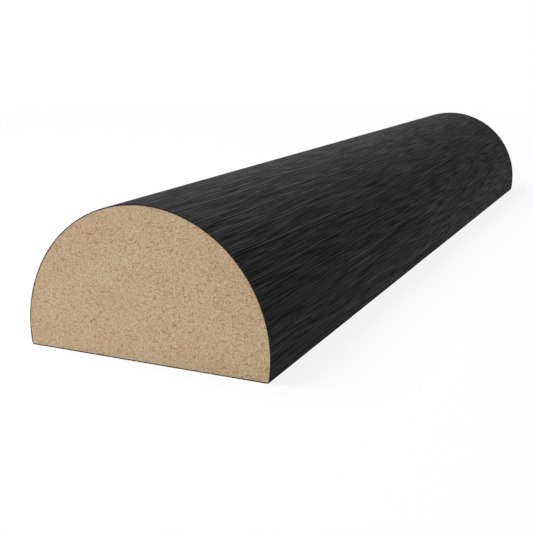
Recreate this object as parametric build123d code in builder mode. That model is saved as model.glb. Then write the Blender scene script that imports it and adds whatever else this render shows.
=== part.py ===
from build123d import *

import os
from math import asin, degrees

# Half round wall batten: a moulded MDF core, wrapped all round in a decorative foil.
# The batten lies on its flat back. X runs across it, Y along it and Z up from the back,
# and the origin is at the middle of the back. Sizes are in millimetres.

# Overall size of the finished batten, measured over the foil
WIDTH = 52.0
HEIGHT = 30.0
LENGTH = 240.0

# The wrap: its thickness, the eased corners of the back, and the butt seam on the back
FOIL = 0.2
ARRIS_RADIUS = 0.5
SEAM_FROM_MIDDLE = 14.0
SEAM_GAP = 0.2

# The round face is a circle as wide as the batten, cut by the back a little below its centre
ROUND_CENTRE_HEIGHT = HEIGHT - WIDTH / 2
CORE_RADIUS = WIDTH / 2 - FOIL
CORE_ARRIS_RADIUS = ARRIS_RADIUS - FOIL

# How far round the circle, below its level diameter, the core's back cuts it
BACK_ANGLE = degrees(asin((ROUND_CENTRE_HEIGHT - FOIL) / CORE_RADIUS))

# Both cross-sections are drawn at the front end, with X across and Y up, and run to the back end
front_end = Plane.XZ.offset(LENGTH / 2)

# The core is one length of moulded fibreboard, with its two back corners eased for the foil
with BuildPart() as mdf_core:
    with BuildSketch(front_end) as core_section:
        with BuildLine():
            round_face = CenterArc((0, ROUND_CENTRE_HEIGHT), CORE_RADIUS, -BACK_ANGLE, 180 + 2 * BACK_ANGLE)
            Line(round_face @ 1, round_face @ 0)
        make_face()
        fillet(core_section.vertices(), CORE_ARRIS_RADIUS)
    extrude(amount=-LENGTH)

# The foil is one strip glued round the core, and its long edges meet in a seam on the back
with BuildPart() as foil_wrap:
    with BuildSketch(front_end) as foil_section:
        add(core_section.sketch_local)
        offset(amount=FOIL)
        add(core_section.sketch_local, mode=Mode.SUBTRACT)
        with Locations((SEAM_FROM_MIDDLE, 0)):
            Rectangle(SEAM_GAP, FOIL, align=(Align.CENTER, Align.MIN), mode=Mode.SUBTRACT)
    extrude(amount=-LENGTH)

mdf_core.part.label = "mdf_core"
foil_wrap.part.label = "foil_wrap"

os.makedirs("parts", exist_ok=True)
export_step(mdf_core.part, "parts/mdf_core.step")
export_step(foil_wrap.part, "parts/foil_wrap.step")
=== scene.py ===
"""Looks for the half round batten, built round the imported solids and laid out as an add-on.

The batten lies on its flat back: X runs across it, Y along it and Z up, in metres. Two pieces are made:
the sawn fibreboard core, and the embossed foil that is wrapped round it.
"""

import math

import bpy
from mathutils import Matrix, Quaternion, Vector


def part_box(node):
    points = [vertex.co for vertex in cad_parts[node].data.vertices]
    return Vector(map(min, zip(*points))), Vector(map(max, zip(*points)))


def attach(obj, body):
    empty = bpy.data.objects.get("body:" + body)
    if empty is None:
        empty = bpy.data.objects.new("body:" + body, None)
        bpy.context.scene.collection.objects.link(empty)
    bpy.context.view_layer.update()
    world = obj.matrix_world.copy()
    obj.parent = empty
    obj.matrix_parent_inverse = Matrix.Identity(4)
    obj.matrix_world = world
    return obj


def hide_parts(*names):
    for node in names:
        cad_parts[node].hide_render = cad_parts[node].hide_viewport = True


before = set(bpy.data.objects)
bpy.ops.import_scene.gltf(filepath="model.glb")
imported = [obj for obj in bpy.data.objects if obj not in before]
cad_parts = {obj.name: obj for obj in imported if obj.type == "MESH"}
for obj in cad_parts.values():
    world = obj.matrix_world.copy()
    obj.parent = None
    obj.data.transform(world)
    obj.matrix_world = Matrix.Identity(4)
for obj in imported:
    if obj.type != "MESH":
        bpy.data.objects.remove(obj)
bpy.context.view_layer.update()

bl_info = {
    "name": "Half round batten",
    "version": (1, 0, 0),
    "blender": (4, 5, 0),
    "location": "3D View > Sidebar > Batten",
    "description": "Makes a foil wrapped half round batten and the stage that it is shown on",
    "category": "Add Mesh",
}

MM = 0.001

# How far apart nodes lie in the node editor
NODE_STEP = 190

# Points closer together than this are joined, and edges bent more than this stay sharp
MERGE_DISTANCE = 0.002 * MM
CREASE_ANGLE = math.radians(50)

# The turn from one point to the next round an eased corner
FOIL_CORNER_STEP = math.radians(10)
CORE_CORNER_STEP = math.radians(15)

# Sizes of the grain's sideways wander, of its bands of close and open pores, and of what slides alone
WANDER_WIDTH = 14 * MM
WANDER_RUN = 60 * MM
BAND_WIDTH = 5 * MM
BAND_RUN = 60 * MM
SLIDE_WIDTH = 0.9 * MM

# Noise values where a pore starts and is deepest, where its band is open and close, and an open band's depth
PORE_START = 0.5
PORE_FULL = 0.68
OPEN_BAND = 0.35
CLOSE_BAND = 0.65
OPEN_DEPTH = 0.3

# Noise values where a sawn end is level and where its pits are deepest
PIT_START = 0.3
PIT_FULL = 0.75

# Colours beside the main ones, which are settings
BOARD_DARK = "#AA8145"
BOARD_PALE = "#CEC2B0"
FIBRE_DARK = "#8E672E"
FIBRE_PALE = "#D9CDB9"
FOIL_DARK = "#121212"
FOIL_PALE = "#353535"
# Painted highlight on the embossed ridges, also the colour of the grain's paler hairlines; then painted shade
# on the ridges' far sides and in the pores, also the colour of the grain's dark scratches
PALE_LINE_AND_HIGHLIGHT_COLOUR = "#474747"
DARK_LINE_AND_SHADE_COLOUR = "#0B0B0B"
PAPER_WHITE = "#FFFFFF"

# The paper's share of plain white beside the batten, and the distances over which it rises to all of it
PAPER_NEAR_WHITE = 0.87
PAPER_NEAR = 0.15
PAPER_FAR = 0.6

# Heights, as a share of straight up, between which the room goes from white to its sky
HORIZON_LOW = 0.1
HORIZON_HIGH = 0.2

# Each lamp's name, place, aim, sizes and the setting that holds its power
LAMPS = (
    ("overhead_softbox", (-0.33, -0.15, 0.48), (0.0, 0.0, 0.0), (0.35, 0.35), "overhead_power"),
    ("front_softbox", (0.2, -1.9, 1.0), (0.0, 0.0, 0.0), (1.2, 1.2), "front_power"),
    ("low_card", (-0.37, 0.57, 0.22), (0.0, -0.1, 0.03), (0.2, 0.16), "low_card_power"),
    ("high_card", (-0.17, 0.57, 0.39), (0.0, -0.1, 0.03), (0.28, 0.22), "high_card_power"),
)

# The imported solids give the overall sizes, and the foil's thickness shows at the flat back
FOIL_LOW, FOIL_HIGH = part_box("foil_wrap")
CORE_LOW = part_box("mdf_core")[0]
WIDTH = FOIL_HIGH.x - FOIL_LOW.x
HEIGHT = FOIL_HIGH.z - FOIL_LOW.z
LENGTH = FOIL_HIGH.y - FOIL_LOW.y
FOIL = CORE_LOW.z - FOIL_LOW.z


def linear(hex_colour):
    """Turns an sRGB hex colour into a linear RGBA colour."""
    channels = [int(hex_colour[i : i + 2], 16) / 255 for i in (1, 3, 5)]
    return (*[c / 12.92 if c <= 0.04045 else ((c + 0.055) / 1.055) ** 2.4 for c in channels], 1.0)


def add_node(tree, kind, inputs=None, **settings):
    """Adds a node with its settings, and sets or links its inputs, which are given by name or number."""
    made = tree.nodes.new(kind)
    made.location.x = NODE_STEP * len(tree.nodes)
    for name, value in settings.items():
        setattr(made, name, value)
    for key, value in (inputs or {}).items():
        for source in value if isinstance(value, list) else [value]:
            if isinstance(source, bpy.types.NodeSocket):
                tree.links.new(source, made.inputs[key])
            else:
                made.inputs[key].default_value = source
    return made


def new_shape_tree(name, floats, wholes):
    """Starts a geometry tree with a section, its sizes, its counts and a material as named inputs."""
    tree = bpy.data.node_groups.new(name, "GeometryNodeTree")
    tree.interface.new_socket("Section", in_out="INPUT", socket_type="NodeSocketGeometry")
    for size in floats:
        tree.interface.new_socket(size, in_out="INPUT", socket_type="NodeSocketFloat")
    for whole in wholes:
        tree.interface.new_socket(whole, in_out="INPUT", socket_type="NodeSocketInt")
    tree.interface.new_socket("Material", in_out="INPUT", socket_type="NodeSocketMaterial")
    tree.interface.new_socket("Piece", in_out="OUTPUT", socket_type="NodeSocketGeometry")
    return tree, add_node(tree, "NodeGroupInput").outputs


def close_and_finish(tree, sheet, moved_sheet, material):
    """Joins a sheet of faces to its extruded copy as one closed piece, shades it and ends the tree."""
    turned = add_node(tree, "GeometryNodeFlipFaces", {"Mesh": moved_sheet}).outputs["Mesh"]
    both = add_node(tree, "GeometryNodeJoinGeometry", {"Geometry": [sheet, turned]}).outputs["Geometry"]
    closed = add_node(tree, "GeometryNodeMergeByDistance", {"Geometry": both, "Distance": MERGE_DISTANCE})
    smooth = add_node(
        tree, "GeometryNodeSetShadeSmooth", {"Geometry": closed.outputs["Geometry"], "Shade Smooth": True}
    )
    angle = add_node(tree, "GeometryNodeInputMeshEdgeAngle").outputs["Unsigned Angle"]
    corner = add_node(tree, "FunctionNodeCompare", {0: angle, 1: CREASE_ANGLE}, operation="GREATER_THAN")
    creased = add_node(
        tree,
        "GeometryNodeSetShadeSmooth",
        {"Geometry": smooth.outputs["Geometry"], "Selection": corner.outputs[0], "Shade Smooth": False},
        domain="EDGE",
    )
    real = add_node(tree, "GeometryNodeRealizeInstances", {"Geometry": creased.outputs["Geometry"]})
    dressed = add_node(
        tree, "GeometryNodeSetMaterial", {"Geometry": real.outputs["Geometry"], "Material": material}
    )
    add_node(tree, "NodeGroupOutput", {"Piece": dressed.outputs["Geometry"]})


def run_tree(name, tree, section, values):
    """Runs a tree on a section mesh and returns the piece as an object with a plain mesh."""
    piece = bpy.data.objects.new(name, section)
    bpy.context.scene.collection.objects.link(piece)
    modifier = piece.modifiers.new("Shape", "NODES")
    modifier.node_group = tree
    identifiers = {item.name: item.identifier for item in tree.interface.items_tree if item.in_out == "INPUT"}
    for socket, value in values.items():
        modifier[identifiers[socket]] = value
    depsgraph = bpy.context.evaluated_depsgraph_get()
    mesh = bpy.data.meshes.new_from_object(
        piece.evaluated_get(depsgraph), preserve_all_data_layers=True, depsgraph=depsgraph
    )
    piece.modifiers.remove(modifier)
    piece.data = mesh
    mesh.name = name
    if not mesh.polygons:
        raise RuntimeError(f"{name} came out with no faces")
    return piece


def stand_for_node(piece, node):
    """Puts a finished piece in the place of its CAD node."""
    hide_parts(node)
    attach(piece, "root")


def steps(start, end, spacing):
    """Even values from start up to, but not including, end."""
    count = max(1, math.ceil(abs(end - start) / spacing - 0.001))
    return [start + (end - start) * i / count for i in range(count)]


def arris_centre(arris):
    """Where a back corner's rounding is centred, and how far round below level it meets the round face."""
    round_radius = WIDTH / 2
    drop = HEIGHT - round_radius - arris
    across = math.sqrt((round_radius - arris) ** 2 - drop**2)
    return across, math.atan2(drop, across)


def foil_outline(settings):
    """Points of the foil's section from one edge of the seam round to the other, with outward directions."""
    radius = WIDTH / 2
    arris = settings.arris
    across, dip = arris_centre(arris)
    cell = settings.cell
    back_cell = 2 * cell
    quarter = math.pi / 2
    seam_right = settings.seam_from_middle + settings.seam_gap / 2
    seam_left = settings.seam_from_middle - settings.seam_gap / 2
    points = [(x, 0.0, 0.0, -1.0) for x in steps(seam_right, across, back_cell)]
    for centre_x, centre_z, size, start, end, step in (
        (across, arris, arris, -quarter, -dip, FOIL_CORNER_STEP),
        (0.0, HEIGHT - radius, radius, -dip, math.pi + dip, cell / radius),
        (-across, arris, arris, math.pi + dip, math.pi + quarter, FOIL_CORNER_STEP),
    ):
        for turn in steps(start, end, step):
            out_x, out_z = math.cos(turn), math.sin(turn)
            points.append((centre_x + size * out_x, centre_z + size * out_z, out_x, out_z))
    points += [(x, 0.0, 0.0, -1.0) for x in steps(-across, seam_left, back_cell)]
    points.append((seam_left, 0.0, 0.0, -1.0))
    return points


def foil_section(settings):
    """The section as a mesh of points, which hold the matching inner point and the way round the strip."""
    points = foil_outline(settings)
    mesh = bpy.data.meshes.new("foil_section")
    mesh.from_pydata([(x, 0.0, z) for x, z, _, _ in points], [], [])
    inside = [(x - out_x * FOIL, 0.0, z - out_z * FOIL) for x, z, out_x, out_z in points]
    around = [0.0]
    for here, there in zip(points, points[1:]):
        around.append(around[-1] + math.dist(here[:2], there[:2]))
    mesh.attributes.new("inside", "FLOAT_VECTOR", "POINT").data.foreach_set("vector", sum(inside, ()))
    mesh.attributes.new("around", "FLOAT", "POINT").data.foreach_set("value", around)
    return mesh


def foil_tree():
    """Sweeps the section along the batten as a fine sheet, sinks the grain's pores and closes the strip."""
    tree, given = new_shape_tree(
        "Embossed foil wrap",
        ["Length", "Thickness", "Emboss depth", "Pore width", "Pore run", "Grain drift", "Line stagger"],
        ["Rows", "Seed"],
    )
    section = given["Section"]
    columns = add_node(tree, "GeometryNodeAttributeDomainSize", {"Geometry": section}).outputs["Point Count"]
    grid = add_node(tree, "GeometryNodeMeshGrid", {"Vertices X": given["Rows"], "Vertices Y": columns})
    index = add_node(tree, "GeometryNodeInputIndex").outputs["Index"]
    column = add_node(tree, "FunctionNodeIntegerMath", {0: index, 1: columns}, operation="MODULO").outputs[0]
    row = add_node(
        tree, "FunctionNodeIntegerMath", {0: index, 1: columns}, operation="DIVIDE_FLOOR"
    ).outputs[0]

    # Each column of the sheet reads its place from one point of the section
    on_section = add_node(tree, "GeometryNodeInputPosition").outputs["Position"]
    held_inside = add_node(
        tree, "GeometryNodeInputNamedAttribute", {"Name": "inside"}, data_type="FLOAT_VECTOR"
    ).outputs["Attribute"]
    held_around = add_node(
        tree, "GeometryNodeInputNamedAttribute", {"Name": "around"}, data_type="FLOAT"
    ).outputs["Attribute"]
    outer, inner, around = [
        add_node(
            tree,
            "GeometryNodeSampleIndex",
            {"Geometry": section, "Value": value, "Index": column},
            data_type=kind,
        ).outputs["Value"]
        for value, kind in (
            (on_section, "FLOAT_VECTOR"),
            (held_inside, "FLOAT_VECTOR"),
            (held_around, "FLOAT"),
        )
    ]

    # Rows run from the front end to the back end
    back_end = add_node(tree, "ShaderNodeMath", {0: given["Length"], 1: 0.5}, operation="MULTIPLY").outputs[0]
    front_end = add_node(tree, "ShaderNodeMath", {0: back_end, 1: -1.0}, operation="MULTIPLY").outputs[0]
    last_row = add_node(tree, "ShaderNodeMath", {0: given["Rows"], 1: 1.0}, operation="SUBTRACT").outputs[0]
    along = add_node(
        tree,
        "ShaderNodeMapRange",
        {"Value": row, "From Min": 0.0, "From Max": last_row, "To Min": front_end, "To Max": back_end},
    ).outputs["Result"]

    # The inner wall is hidden, so it needs only its two ends: every row but the first goes to the back end
    inner_along = add_node(
        tree,
        "ShaderNodeMapRange",
        {"Value": row, "From Min": 0.0, "From Max": 1.0, "To Min": front_end, "To Max": back_end},
        clamp=True,
    ).outputs["Result"]
    outer_shift = add_node(tree, "ShaderNodeCombineXYZ", {"Y": along}).outputs["Vector"]
    inner_shift = add_node(tree, "ShaderNodeCombineXYZ", {"Y": inner_along}).outputs["Vector"]
    outer_place, inner_place = [
        add_node(tree, "ShaderNodeVectorMath", {0: wall, 1: shift}, operation="ADD").outputs[0]
        for wall, shift in ((outer, outer_shift), (inner, inner_shift))
    ]

    # The grain wanders a little sideways as it runs, so the strip's own coordinates drift with it
    slow = add_node(tree, "ShaderNodeCombineXYZ", {"X": around, "Y": along}).outputs["Vector"]
    slow_scaled = add_node(
        tree,
        "ShaderNodeVectorMath",
        {0: slow, 1: (1 / WANDER_WIDTH, 1 / WANDER_RUN, 0.0)},
        operation="MULTIPLY",
    ).outputs[0]
    wander = add_node(
        tree,
        "ShaderNodeTexNoise",
        {"Vector": slow_scaled, "W": given["Seed"], "Scale": 1.0, "Detail": 1.0},
        noise_dimensions="4D",
    ).outputs[0]
    drift = add_node(
        tree,
        "ShaderNodeMapRange",
        {"Value": wander, "From Min": 0.5, "From Max": 1.0, "To Min": 0.0, "To Max": given["Grain drift"]},
        clamp=False,
    ).outputs["Result"]
    drifted = add_node(tree, "ShaderNodeMath", {0: around, 1: drift}, operation="ADD").outputs[0]

    # Neighbouring lines start and stop in different places, so each part of the strip is slid along by itself
    slide_place = add_node(
        tree, "ShaderNodeMath", {0: drifted, 1: 1 / SLIDE_WIDTH}, operation="MULTIPLY"
    ).outputs[0]
    slide = add_node(
        tree, "ShaderNodeTexNoise", {"W": slide_place, "Scale": 1.0, "Detail": 1.0}, noise_dimensions="1D"
    ).outputs[0]
    slid = add_node(
        tree, "ShaderNodeMath", {0: slide, 1: given["Line stagger"], 2: along}, operation="MULTIPLY_ADD"
    ).outputs[0]
    strip = add_node(tree, "ShaderNodeCombineXYZ", {"X": drifted, "Y": slid}).outputs["Vector"]

    # The sheet is counted by its points, so face corners take the strip's coordinates over from their points
    corner_strip = add_node(
        tree, "GeometryNodeFieldOnDomain", {"Value": strip}, data_type="FLOAT_VECTOR", domain="POINT"
    ).outputs["Value"]

    # Pores are long narrow hollows, closer together in some bands of the grain than in others
    across_count, along_count = [
        add_node(tree, "ShaderNodeMath", {0: place, 1: given[size]}, operation="DIVIDE").outputs[0]
        for place, size in ((drifted, "Pore width"), (slid, "Pore run"))
    ]
    pore_place = add_node(
        tree, "ShaderNodeCombineXYZ", {"X": across_count, "Y": along_count}
    ).outputs["Vector"]
    pore_noise = add_node(
        tree,
        "ShaderNodeTexNoise",
        {"Vector": pore_place, "W": given["Seed"], "Scale": 1.0, "Detail": 1.0, "Roughness": 0.5},
        noise_dimensions="4D",
    ).outputs[0]
    pores = add_node(
        tree,
        "ShaderNodeMapRange",
        {"Value": pore_noise, "From Min": PORE_START, "From Max": PORE_FULL},
        interpolation_type="SMOOTHSTEP",
    ).outputs["Result"]
    bands_scaled = add_node(
        tree,
        "ShaderNodeVectorMath",
        {0: strip, 1: (1 / BAND_WIDTH, 1 / BAND_RUN, 0.0)},
        operation="MULTIPLY",
    ).outputs[0]
    bands = add_node(
        tree,
        "ShaderNodeTexNoise",
        {"Vector": bands_scaled, "W": given["Seed"], "Scale": 1.0, "Detail": 2.0},
        noise_dimensions="4D",
    ).outputs[0]
    closeness = add_node(
        tree,
        "ShaderNodeMapRange",
        {"Value": bands, "From Min": OPEN_BAND, "From Max": CLOSE_BAND, "To Min": OPEN_DEPTH},
    ).outputs["Result"]
    sink = add_node(tree, "ShaderNodeMath", {0: pores, 1: closeness}, operation="MULTIPLY").outputs[0]

    placed = add_node(
        tree, "GeometryNodeSetPosition", {"Geometry": grid.outputs["Mesh"], "Position": outer_place}
    ).outputs["Geometry"]
    for name, value, kind, domain in (
        ("strip", corner_strip, "FLOAT2", "CORNER"),
        ("pore", sink, "FLOAT", "POINT"),
        ("inner_place", inner_place, "FLOAT_VECTOR", "POINT"),
    ):
        placed = add_node(
            tree,
            "GeometryNodeStoreNamedAttribute",
            {"Geometry": placed, "Name": name, "Value": value},
            data_type=kind,
            domain=domain,
        ).outputs["Geometry"]

    # Pores sink from the outer face towards the core, so the finished size stays as it is
    inward = add_node(tree, "ShaderNodeVectorMath", {0: inner, 1: outer}, operation="SUBTRACT").outputs[0]
    share = add_node(
        tree, "ShaderNodeMath", {0: given["Emboss depth"], 1: given["Thickness"]}, operation="DIVIDE"
    ).outputs[0]
    held_sink = add_node(tree, "GeometryNodeInputNamedAttribute", {"Name": "pore"}, data_type="FLOAT")
    depth = add_node(
        tree, "ShaderNodeMath", {0: held_sink.outputs["Attribute"], 1: share}, operation="MULTIPLY"
    )
    sunk = add_node(tree, "ShaderNodeVectorMath", {0: inward, "Scale": depth.outputs[0]}, operation="SCALE")
    embossed = add_node(
        tree, "GeometryNodeSetPosition", {"Geometry": placed, "Offset": sunk.outputs[0]}
    ).outputs["Geometry"]

    thick = add_node(
        tree,
        "GeometryNodeExtrudeMesh",
        {"Mesh": embossed, "Offset Scale": 0.0, "Individual": False},
        mode="FACES",
    )
    held_inner = add_node(
        tree, "GeometryNodeInputNamedAttribute", {"Name": "inner_place"}, data_type="FLOAT_VECTOR"
    )
    lined = add_node(
        tree,
        "GeometryNodeSetPosition",
        {
            "Geometry": thick.outputs["Mesh"],
            "Selection": thick.outputs["Top"],
            "Position": held_inner.outputs["Attribute"],
        },
    ).outputs["Geometry"]
    close_and_finish(tree, embossed, lined, given["Material"])
    return tree


def core_section(settings):
    """Half the core's section as a mesh of points from the flat back up to the crown."""
    arris = settings.arris
    across, dip = arris_centre(arris)
    radius = WIDTH / 2 - FOIL
    small = arris - FOIL
    crown = math.pi / 2
    points = []
    for turn in steps(-crown, -dip, CORE_CORNER_STEP):
        points.append((across + small * math.cos(turn), arris + small * math.sin(turn)))
    for turn in steps(-dip, crown, settings.cell / radius):
        points.append((radius * math.cos(turn), HEIGHT - WIDTH / 2 + radius * math.sin(turn)))
    points.append((0.0, HEIGHT - FOIL))
    mesh = bpy.data.meshes.new("core_section")
    mesh.from_pydata([(x, 0.0, z) for x, z in points], [], [])
    return mesh


def core_tree():
    """Fills the section with a fine sheet, runs it along the batten and roughens both sawn ends."""
    tree, given = new_shape_tree(
        "Sawn fibreboard core", ["Length", "Pit depth", "Pit size"], ["Columns", "Seed"]
    )
    section = given["Section"]
    rows = add_node(tree, "GeometryNodeAttributeDomainSize", {"Geometry": section}).outputs["Point Count"]
    grid = add_node(tree, "GeometryNodeMeshGrid", {"Vertices X": given["Columns"], "Vertices Y": rows})
    index = add_node(tree, "GeometryNodeInputIndex").outputs["Index"]
    row = add_node(tree, "FunctionNodeIntegerMath", {0: index, 1: rows}, operation="MODULO").outputs[0]
    column = add_node(
        tree, "FunctionNodeIntegerMath", {0: index, 1: rows}, operation="DIVIDE_FLOOR"
    ).outputs[0]

    # Each row spans the section from side to side at the height of one of its points
    on_section = add_node(tree, "GeometryNodeInputPosition").outputs["Position"]
    edge = add_node(
        tree,
        "GeometryNodeSampleIndex",
        {"Geometry": section, "Value": on_section, "Index": row},
        data_type="FLOAT_VECTOR",
    ).outputs["Value"]
    last = add_node(tree, "ShaderNodeMath", {0: given["Columns"], 1: 1.0}, operation="SUBTRACT").outputs[0]
    side = add_node(
        tree, "ShaderNodeMapRange", {"Value": column, "From Max": last, "To Min": -1.0, "To Max": 1.0}
    ).outputs["Result"]
    edge_parts = add_node(tree, "ShaderNodeSeparateXYZ", {"Vector": edge}).outputs
    across = add_node(tree, "ShaderNodeMath", {0: edge_parts["X"], 1: side}, operation="MULTIPLY").outputs[0]
    front_end = add_node(
        tree, "ShaderNodeMath", {0: given["Length"], 1: -0.5}, operation="MULTIPLY"
    ).outputs[0]
    place = add_node(tree, "ShaderNodeCombineXYZ", {"X": across, "Y": front_end, "Z": edge_parts["Z"]})
    face = add_node(
        tree,
        "GeometryNodeSetPosition",
        {"Geometry": grid.outputs["Mesh"], "Position": place.outputs["Vector"]},
    ).outputs["Geometry"]
    run = add_node(tree, "ShaderNodeCombineXYZ", {"Y": given["Length"]}).outputs["Vector"]
    long = add_node(
        tree,
        "GeometryNodeExtrudeMesh",
        {"Mesh": face, "Offset": run, "Offset Scale": 1.0, "Individual": False},
        mode="FACES",
    ).outputs["Mesh"]

    # Sawn ends are a little rough: the blade pulls short fibres out and leaves soft pits
    sawn = []
    for sheet in (face, long):
        position = add_node(tree, "GeometryNodeInputPosition").outputs["Position"]
        scaled = add_node(
            tree, "ShaderNodeVectorMath", {0: position, 1: given["Pit size"]}, operation="DIVIDE"
        ).outputs[0]
        noise = add_node(
            tree,
            "ShaderNodeTexNoise",
            {"Vector": scaled, "W": given["Seed"], "Scale": 1.0, "Detail": 2.0, "Roughness": 0.6},
            noise_dimensions="4D",
        ).outputs[0]
        pits = add_node(
            tree, "ShaderNodeMapRange", {"Value": noise, "From Min": PIT_START, "From Max": PIT_FULL}
        ).outputs["Result"]
        end = add_node(tree, "ShaderNodeSeparateXYZ", {"Vector": position}).outputs["Y"]
        outward = add_node(tree, "ShaderNodeMath", {0: end}, operation="SIGN").outputs[0]
        depth = add_node(
            tree, "ShaderNodeMath", {0: pits, 1: given["Pit depth"]}, operation="MULTIPLY"
        ).outputs[0]
        moved = add_node(tree, "ShaderNodeMath", {0: depth, 1: outward}, operation="MULTIPLY").outputs[0]
        back = add_node(tree, "ShaderNodeMath", {0: moved, 1: -1.0}, operation="MULTIPLY").outputs[0]
        shift = add_node(tree, "ShaderNodeCombineXYZ", {"Y": back}).outputs["Vector"]
        pitted = add_node(tree, "GeometryNodeSetPosition", {"Geometry": sheet, "Offset": shift})
        sawn.append(pitted.outputs["Geometry"])
    close_and_finish(tree, sawn[0], sawn[1], given["Material"])
    return tree


def ramp_stops(node, stops):
    """Sets a colour ramp's stops from pairs of place and colour."""
    elements = node.color_ramp.elements
    while len(elements) > 1:
        elements.remove(elements[-1])
    elements[0].position, elements[0].color = stops[0]
    for place, colour in stops[1:]:
        elements.new(place).color = colour


def new_material(name):
    """An empty node material with its shader and output."""
    material = bpy.data.materials.new(name)
    material.use_nodes = True
    tree = material.node_tree
    tree.nodes.clear()
    shader = add_node(tree, "ShaderNodeBsdfPrincipled")
    add_node(tree, "ShaderNodeOutputMaterial", {"Surface": shader.outputs["BSDF"]})
    return material, tree, shader


def noise_layers(tree, place, layers):
    """Noise patterns on one set of coordinates, each with feature sizes in millimetres, detail and offset."""
    patterns = []
    for sizes, detail, offset in layers:
        scaled = add_node(
            tree,
            "ShaderNodeVectorMath",
            {0: place, 1: tuple(1 / (size * MM) if size else 0.0 for size in sizes), 2: offset},
            operation="MULTIPLY_ADD",
        ).outputs[0]
        noise = add_node(
            tree,
            "ShaderNodeTexNoise",
            {"Vector": scaled, "Scale": 1.0, "Detail": detail, "Roughness": 0.5},
        )
        patterns.append(noise.outputs[0])
    return patterns


def mdf_material(settings):
    """Sawn medium density fibreboard: matt, pale brown, flecked with short darker and paler fibres."""
    material, tree, shader = new_material("sawn_fibreboard")
    place = add_node(tree, "ShaderNodeTexCoord").outputs["Object"]
    # Broad clouds, the fine grain, short flat fibres, dark specks and pale specks, with sizes in millimetres
    cloud, grain, dashes, dots, pale = noise_layers(
        tree,
        place,
        (
            ((9.0, 9.0, 7.0), 1.0, (0.0, 0.0, 0.0)),
            ((0.3, 0.3, 0.3), 2.0, (0.0, 0.0, 3.0)),
            ((1.0, 1.0, 0.26), 1.0, (0.0, 0.0, 7.0)),
            ((0.42, 0.42, 0.36), 0.0, (0.0, 0.0, 11.0)),
            ((0.5, 0.5, 0.4), 0.0, (0.0, 0.0, 17.0)),
        ),
    )
    tone = 0.0
    for pattern, share in ((cloud, 0.16), (grain, 0.87), (dashes, 0.3)):
        tone = add_node(
            tree, "ShaderNodeMath", {0: pattern, 1: share, 2: tone}, operation="MULTIPLY_ADD"
        ).outputs[0]
    board = add_node(tree, "ShaderNodeValToRGB", {"Fac": tone})
    ramp_stops(
        board,
        [(0.385, linear(BOARD_DARK)), (0.665, linear(settings.board_colour)), (0.945, linear(BOARD_PALE))],
    )
    coloured = board.outputs["Color"]
    for pattern, low, high, share, colour in (
        (dots, 0.63, 0.76, 0.6, FIBRE_DARK),
        (pale, 0.66, 0.78, 0.5, FIBRE_PALE),
    ):
        amount = add_node(
            tree, "ShaderNodeMapRange", {"Value": pattern, "From Min": low, "From Max": high, "To Max": share}
        ).outputs["Result"]
        coloured = add_node(
            tree, "ShaderNodeMix", {0: amount, 6: coloured, 7: linear(colour)}, data_type="RGBA"
        ).outputs[2]
    tree.links.new(coloured, shader.inputs["Base Color"])
    shader.inputs["Roughness"].default_value = 0.85
    shader.inputs["Specular IOR Level"].default_value = 0.2
    bump = add_node(tree, "ShaderNodeBump", {"Height": grain, "Strength": 0.5, "Distance": 0.04 * MM})
    tree.links.new(bump.outputs["Normal"], shader.inputs["Normal"])
    return material


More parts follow.
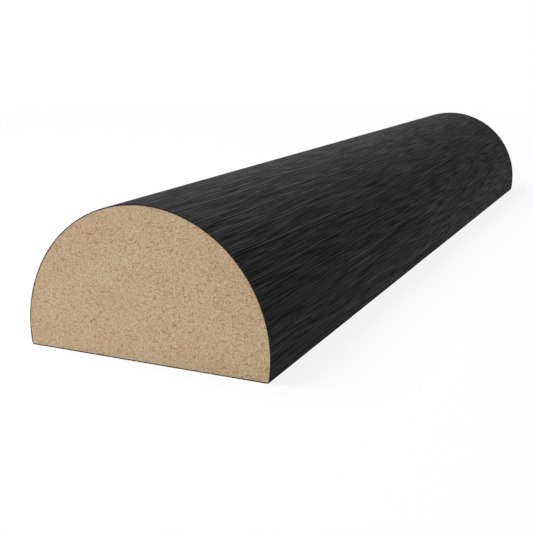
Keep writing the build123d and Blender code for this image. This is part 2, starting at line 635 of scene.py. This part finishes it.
def foil_material(settings):
    """Black decorative foil, embossed as wood: satin black, with fine paler and darker lines along it: grain
    hairlines and scratches, and painted highlight and painted shade on the ridges and in the pores.
    """
    material, tree, shader = new_material("black_woodgrain_foil")
    strip = add_node(tree, "ShaderNodeUVMap", uv_map="strip").outputs["UV"]
    pore = add_node(tree, "ShaderNodeAttribute", attribute_name="pore").outputs["Fac"]
    # Real embossed lines are too fine to show in the render, so these are as coarse as they need to show.
    # Each line is a pair: a ridge painted paler as its highlight, and the same line a little further round
    # painted darker as the shade on its far side.
    # Sizes are in millimetres, round the strip and along it.
    ridges, shaded_sides, hairs, bands, haze = noise_layers(
        tree,
        strip,
        (
            ((0.24, 36.0, 0.0), 0.0, (0.0, 0.0, 0.0)),
            ((0.24, 36.0, 0.0), 0.0, (0.7, 0.0, 0.0)),
            ((0.13, 9.0, 0.0), 0.0, (0.0, 0.0, 5.0)),
            ((2.4, 80.0, 0.0), 1.0, (0.0, 0.0, 13.0)),
            ((0.3, 1.3, 0.0), 1.0, (0.0, 0.0, 21.0)),
        ),
    )
    shares = []
    # Amounts of painted highlight on the ridges, painted shade on their far sides, the grain's paler
    # hairlines and dark scratches, and the bands that vary the lines' strength
    for pattern, low, high, share in (
        (ridges, 0.6, 0.66, 1.0),
        (shaded_sides, 0.6, 0.66, 0.9),
        (hairs, 0.56, 0.66, 0.6),
        (hairs, 0.44, 0.34, 0.6),
        (bands, 0.35, 0.65, 1.0),
    ):
        amount = add_node(
            tree, "ShaderNodeMapRange", {"Value": pattern, "From Min": low, "From Max": high, "To Max": share}
        )
        shares.append(amount.outputs["Result"])
    ridge_highlight, groove_side_shade, hair, scratch, band = shares
    # The paleness is painted highlight on the ridges together with the grain's paler hairlines
    highlight_and_hair = add_node(tree, "ShaderNodeMath", {0: ridge_highlight, 1: hair}, operation="MAXIMUM").outputs[0]
    strength = add_node(
        tree, "ShaderNodeMath", {0: band, 1: 0.15, 2: 0.85}, operation="MULTIPLY_ADD"
    ).outputs[0]
    pale = add_node(tree, "ShaderNodeMath", {0: highlight_and_hair, 1: strength}, operation="MULTIPLY").outputs[0]
    ground = add_node(tree, "ShaderNodeValToRGB", {"Fac": haze})
    ramp_stops(
        ground,
        [(0.38, linear(FOIL_DARK)), (0.5, linear(settings.foil_colour)), (0.62, linear(FOIL_PALE))],
    )
    lined = add_node(
        tree,
        "ShaderNodeMix",
        {0: pale, 6: ground.outputs["Color"], 7: linear(PALE_LINE_AND_HIGHLIGHT_COLOUR)},
        data_type="RGBA",
    ).outputs[2]
    # The sunk pores of the mesh get a little painted shade, only a little darker than the ground
    pore_shade = add_node(tree, "ShaderNodeMath", {0: pore, 1: 0.12}, operation="MULTIPLY").outputs[0]
    # The darkness is painted shade on the ridges' far sides and in the pores, together with the grain's dark
    # scratches
    side_shade_and_scratch = add_node(tree, "ShaderNodeMath", {0: groove_side_shade, 1: scratch}, operation="MAXIMUM").outputs[0]
    all_shade_and_scratch = add_node(tree, "ShaderNodeMath", {0: side_shade_and_scratch, 1: pore_shade}, operation="MAXIMUM").outputs[0]
    shaded = add_node(
        tree, "ShaderNodeMix", {0: all_shade_and_scratch, 6: lined, 7: linear(DARK_LINE_AND_SHADE_COLOUR)}, data_type="RGBA"
    ).outputs[2]
    tree.links.new(shaded, shader.inputs["Base Color"])
    # Raised lines are rubbed smoother than the grooves beside them
    height = add_node(tree, "ShaderNodeMath", {0: pale, 1: side_shade_and_scratch}, operation="SUBTRACT").outputs[0]
    gloss = add_node(
        tree, "ShaderNodeMapRange", {"Value": height, "From Min": -1.0, "To Min": 0.86, "To Max": 0.46}
    ).outputs["Result"]
    tree.links.new(gloss, shader.inputs["Roughness"])
    shader.inputs["Specular IOR Level"].default_value = 0.035
    bump = add_node(tree, "ShaderNodeBump", {"Height": height, "Strength": 1.0, "Distance": 0.06 * MM})
    tree.links.new(bump.outputs["Normal"], shader.inputs["Normal"])
    return material


def paper_material(settings):
    """White background paper: matt and even, kept white for the camera while it holds a light shadow."""
    material, tree, shader = new_material("white_paper")
    shader.inputs["Base Color"].default_value = linear(settings.floor_colour)
    shader.inputs["Roughness"].default_value = 0.9
    shader.inputs["Specular IOR Level"].default_value = 0.1
    path = add_node(tree, "ShaderNodeLightPath").outputs
    seen = path["Is Camera Ray"]
    for ray in ("Is Glossy Ray", "Is Transmission Ray"):
        seen = add_node(tree, "ShaderNodeMath", {0: seen, 1: path[ray]}, operation="MAXIMUM").outputs[0]
    # Close to the batten the paper still shows its shadow, and further out it goes to plain white
    place = add_node(tree, "ShaderNodeTexCoord").outputs["Object"]
    reach = add_node(tree, "ShaderNodeVectorMath", {0: place}, operation="LENGTH").outputs["Value"]
    clean = add_node(
        tree,
        "ShaderNodeMapRange",
        {"Value": reach, "From Min": PAPER_NEAR, "From Max": PAPER_FAR, "To Min": PAPER_NEAR_WHITE},
    ).outputs["Result"]
    share = add_node(tree, "ShaderNodeMath", {0: seen, 1: clean}, operation="MULTIPLY").outputs[0]
    white = add_node(tree, "ShaderNodeEmission", {"Color": linear(PAPER_WHITE), "Strength": 1.0}).outputs[0]
    mixed = add_node(tree, "ShaderNodeMixShader", {0: share, 1: shader.outputs["BSDF"], 2: white}).outputs[0]
    tree.links.new(mixed, tree.nodes["Material Output"].inputs["Surface"])
    return material


class BattenCoreSettings(bpy.types.PropertyGroup):
    """Sizes and colour of the fibreboard core."""

    arris: bpy.props.FloatProperty(
        name="Eased corner",
        description="Radius of the back corners, measured over the foil",
        default=0.5 * MM,
        unit="LENGTH",
    )
    cell: bpy.props.FloatProperty(
        name="Cell",
        description="Spacing of the points over the sawn ends",
        default=0.28 * MM,
        unit="LENGTH",
    )
    pit_depth: bpy.props.FloatProperty(
        name="Pit depth",
        description="Depth of the pits that the saw leaves in the ends",
        default=0.05 * MM,
        unit="LENGTH",
    )
    pit_size: bpy.props.FloatProperty(
        name="Pit size",
        description="Size of those pits across the face",
        default=0.6 * MM,
        unit="LENGTH",
    )
    seed: bpy.props.IntProperty(name="Seed", description="Picks one pattern of pits", default=4)
    board_colour: bpy.props.StringProperty(
        name="Board colour", description="Colour of the sawn board, as an sRGB hex value", default="#BCA483"
    )


class BattenFoilSettings(bpy.types.PropertyGroup):
    """Sizes and colour of the wrapped foil."""

    arris: bpy.props.FloatProperty(
        name="Eased corner",
        description="Radius of the back corners, measured over the foil",
        default=0.5 * MM,
        unit="LENGTH",
    )
    seam_from_middle: bpy.props.FloatProperty(
        name="Seam place",
        description="How far from the middle of the back the foil's edges meet",
        default=14.0 * MM,
        unit="LENGTH",
    )
    seam_gap: bpy.props.FloatProperty(
        name="Seam gap", description="Gap between the foil's edges", default=0.2 * MM, unit="LENGTH"
    )
    cell: bpy.props.FloatProperty(
        name="Cell", description="Spacing of the points round the foil", default=0.16 * MM, unit="LENGTH"
    )
    rows: bpy.props.IntProperty(name="Rows", description="Points along the foil", default=128)
    emboss_depth: bpy.props.FloatProperty(
        name="Emboss depth", description="Depth of the deepest pores", default=0.06 * MM, unit="LENGTH"
    )
    pore_width: bpy.props.FloatProperty(
        name="Pore width",
        description="Spacing of the pores across the grain",
        default=0.5 * MM,
        unit="LENGTH",
    )
    pore_run: bpy.props.FloatProperty(
        name="Pore run", description="Length of the pores along the grain", default=38.0 * MM, unit="LENGTH"
    )
    grain_drift: bpy.props.FloatProperty(
        name="Grain drift", description="How far the grain wanders sideways", default=1.0 * MM, unit="LENGTH"
    )
    line_stagger: bpy.props.FloatProperty(
        name="Line stagger",
        description="How far neighbouring lines slide apart",
        default=120.0 * MM,
        unit="LENGTH",
    )
    seed: bpy.props.IntProperty(name="Seed", description="Picks one pattern of grain", default=7)
    foil_colour: bpy.props.StringProperty(
        name="Foil colour", description="Main colour of the foil, as an sRGB hex value", default="#232323"
    )


class BattenStageSettings(bpy.types.PropertyGroup):
    """The camera's place, the floor and the lights."""

    camera_place: bpy.props.FloatVectorProperty(
        name="Camera place",
        description="Where the camera stands",
        default=(87.782 * MM, -259.609 * MM, 59.14 * MM),
        subtype="TRANSLATION",
        unit="LENGTH",
    )
    camera_aim: bpy.props.FloatVectorProperty(
        name="Camera aim",
        description="The point that the camera looks at",
        default=(0.0, -64.443 * MM, 6.193 * MM),
        subtype="TRANSLATION",
        unit="LENGTH",
    )
    camera_roll: bpy.props.FloatProperty(
        name="Camera roll",
        description="Turn of the camera about its own axis",
        default=math.radians(0.384),
        unit="ROTATION",
    )
    lens: bpy.props.FloatProperty(
        name="Lens", description="Focal length in millimetres", default=62.377, unit="CAMERA"
    )
    floor_size: bpy.props.FloatProperty(
        name="Floor size", description="Width of the floor", default=12.0, unit="LENGTH"
    )
    floor_colour: bpy.props.StringProperty(
        name="Floor colour", description="Colour of the floor, as an sRGB hex value", default="#D6D6D6"
    )
    sky: bpy.props.FloatProperty(
        name="Sky", description="Brightness of the room above the horizon, where 1 is white", default=0.2
    )
    overhead_power: bpy.props.FloatProperty(
        name="Overhead power",
        description="Power of the softbox above, on the left",
        default=6.0,
        unit="POWER",
    )
    front_power: bpy.props.FloatProperty(
        name="Front power", description="Power of the softbox in front", default=5.0, unit="POWER"
    )
    low_card_power: bpy.props.FloatProperty(
        name="Low card power", description="Power of the low card behind", default=0.03, unit="POWER"
    )
    high_card_power: bpy.props.FloatProperty(
        name="High card power", description="Power of the higher card behind", default=0.6, unit="POWER"
    )


class BATTEN_OT_add_core(bpy.types.Operator):
    """Makes the fibreboard core with its two sawn ends"""

    bl_idname = "batten.add_core"
    bl_label = "Add core"

    def execute(self, context):
        settings = context.scene.batten_core
        piece = run_tree(
            "fibreboard_core",
            core_tree(),
            core_section(settings),
            {
                "Length": LENGTH,
                "Pit depth": settings.pit_depth,
                "Pit size": settings.pit_size,
                "Columns": round((WIDTH - 2 * FOIL) / settings.cell),
                "Seed": settings.seed,
                "Material": mdf_material(settings),
            },
        )
        stand_for_node(piece, "mdf_core")
        return {"FINISHED"}


class BATTEN_OT_add_foil(bpy.types.Operator):
    """Makes the embossed foil, wrapped round the core with its seam on the back"""

    bl_idname = "batten.add_foil"
    bl_label = "Add foil"

    def execute(self, context):
        settings = context.scene.batten_foil
        piece = run_tree(
            "embossed_foil",
            foil_tree(),
            foil_section(settings),
            {
                "Length": LENGTH,
                "Thickness": FOIL,
                "Emboss depth": settings.emboss_depth,
                "Pore width": settings.pore_width,
                "Pore run": settings.pore_run,
                "Grain drift": settings.grain_drift,
                "Line stagger": settings.line_stagger,
                "Rows": settings.rows,
                "Seed": settings.seed,
                "Material": foil_material(settings),
            },
        )
        stand_for_node(piece, "foil_wrap")
        return {"FINISHED"}


class BATTEN_OT_set_stage(bpy.types.Operator):
    """Makes the floor, the lights and the camera"""

    bl_idname = "batten.set_stage"
    bl_label = "Set stage"

    def execute(self, context):
        settings = context.scene.batten_stage
        scene = context.scene
        scene.view_settings.view_transform = "Standard"

        # A matt white floor, a hair below the batten's back
        half = settings.floor_size / 2
        below = -0.05 * MM
        mesh = bpy.data.meshes.new("floor")
        corners = [(-half, -half, below), (half, -half, below), (half, half, below), (-half, half, below)]
        mesh.from_pydata(corners, [], [(0, 1, 2, 3)])
        floor = bpy.data.objects.new("floor", mesh)
        scene.collection.objects.link(floor)
        mesh.materials.append(paper_material(settings))

        # A pale room: white near the horizon and much dimmer above, so the lamps shape the round face
        world = bpy.data.worlds.new("pale_room")
        scene.world = world
        world.use_nodes = True
        tree = world.node_tree
        direction = add_node(tree, "ShaderNodeTexCoord").outputs["Generated"]
        height = add_node(tree, "ShaderNodeSeparateXYZ", {"Vector": direction}).outputs["Z"]
        sky = add_node(
            tree,
            "ShaderNodeMapRange",
            {
                "Value": height,
                "From Min": HORIZON_LOW,
                "From Max": HORIZON_HIGH,
                "To Min": 1.0,
                "To Max": settings.sky,
            },
        ).outputs["Result"]
        background = tree.nodes["Background"]
        background.inputs["Color"].default_value = (1.0, 1.0, 1.0, 1.0)
        tree.links.new(sky, background.inputs["Strength"])

        # The main softbox is above on the left, a wide fill is in front, and two cards behind light the crown
        for name, place, aim, sizes, power in LAMPS:
            lamp = bpy.data.lights.new(name, "AREA")
            lamp.shape = "RECTANGLE"
            lamp.size, lamp.size_y = sizes
            lamp.energy = getattr(settings, power)
            light = bpy.data.objects.new(name, lamp)
            light.location = place
            light.rotation_mode = "QUATERNION"
            light.rotation_quaternion = (Vector(aim) - Vector(place)).to_track_quat("-Z", "Y")
            light.visible_camera = False
            scene.collection.objects.link(light)

        lens = bpy.data.cameras.new("camera")
        lens.lens = settings.lens
        lens.sensor_width = 36.0
        lens.clip_start = 0.01
        lens.clip_end = 50.0
        camera = bpy.data.objects.new("camera", lens)
        camera.location = settings.camera_place
        ahead = Vector(settings.camera_aim) - Vector(settings.camera_place)
        camera.rotation_mode = "QUATERNION"
        roll = Quaternion((0, 0, 1), settings.camera_roll)
        camera.rotation_quaternion = ahead.to_track_quat("-Z", "Y") @ roll
        scene.collection.objects.link(camera)
        scene.camera = camera
        return {"FINISHED"}


class BATTEN_PT_sidebar(bpy.types.Panel):
    """The batten's settings, piece by piece"""

    bl_idname = "BATTEN_PT_sidebar"
    bl_label = "Half round batten"
    bl_space_type = "VIEW_3D"
    bl_region_type = "UI"
    bl_category = "Batten"

    def draw(self, context):
        for group, operator in (
            (context.scene.batten_core, BATTEN_OT_add_core),
            (context.scene.batten_foil, BATTEN_OT_add_foil),
            (context.scene.batten_stage, BATTEN_OT_set_stage),
        ):
            box = self.layout.box()
            for name in group.__annotations__:
                box.prop(group, name)
            box.operator(operator.bl_idname)


CLASSES = (
    BattenCoreSettings,
    BattenFoilSettings,
    BattenStageSettings,
    BATTEN_OT_add_core,
    BATTEN_OT_add_foil,
    BATTEN_OT_set_stage,
    BATTEN_PT_sidebar,
)


def register():
    """Adds the classes and gives every scene the three groups of settings."""
    for cls in CLASSES:
        bpy.utils.register_class(cls)
    bpy.types.Scene.batten_core = bpy.props.PointerProperty(type=BattenCoreSettings)
    bpy.types.Scene.batten_foil = bpy.props.PointerProperty(type=BattenFoilSettings)
    bpy.types.Scene.batten_stage = bpy.props.PointerProperty(type=BattenStageSettings)


def unregister():
    """Takes the settings and the classes away again."""
    del bpy.types.Scene.batten_stage
    del bpy.types.Scene.batten_foil
    del bpy.types.Scene.batten_core
    for cls in reversed(CLASSES):
        bpy.utils.unregister_class(cls)


def main():
    """Makes the stage and both pieces."""
    register()
    bpy.ops.batten.set_stage()
    bpy.ops.batten.add_core()
    bpy.ops.batten.add_foil()


if __name__ == "__main__":
    main()
